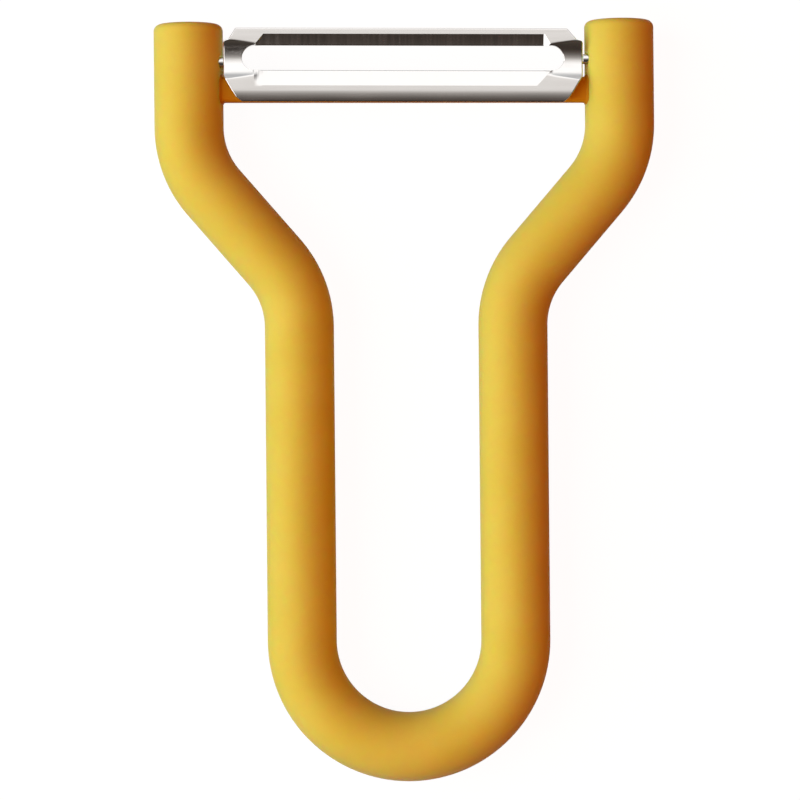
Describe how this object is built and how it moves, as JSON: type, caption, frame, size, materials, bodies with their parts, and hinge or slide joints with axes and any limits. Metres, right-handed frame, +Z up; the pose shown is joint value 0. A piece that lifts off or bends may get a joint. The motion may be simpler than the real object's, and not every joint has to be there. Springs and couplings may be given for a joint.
{
  "type": "vegetable peeler",
  "caption": "Y-shaped vegetable peeler: a looped round handle with a soft skin, a bridge bar and a slotted steel blade that swivels between its arms.",
  "frame": {"origin": "on the surface that the peeler lies on, under the middle of its outline", "axes": "+Y along the handle towards the blade, +X across the arms to the right, +Z up, out of the cutting side"},
  "size_m": [0.0868, 0.1318, 0.012],
  "materials": {
    "skin": "soft-touch silicone, fine matt grain, mustard yellow",
    "core": "glass-filled nylon, as moulded",
    "bridge": "nylon in the colour of the skin",
    "blade": "stainless steel, lightly brushed, ground cutting edges",
    "pin": "turned stainless steel",
    "bush": "acetal, as moulded"
  },
  "bodies": {
    "handle": {"grip_skin": "skin", "core_front_half": "core", "core_back_half": "core", "bridge_bar": "bridge", "pivot_bush_left": "bush", "pivot_bush_right": "bush"},
    "blade": {"peeling_blade": "blade", "pivot_pin_left": "pin", "pivot_pin_right": "pin"}
  },
  "joints": [
    {"name": "blade_swivel", "type": "hinge", "parent": "handle", "child": "blade", "pos_m": [0, 0.05913, 0.0074], "axis": [-1, 0, 0], "range_deg": [0, 30]}
  ]
}
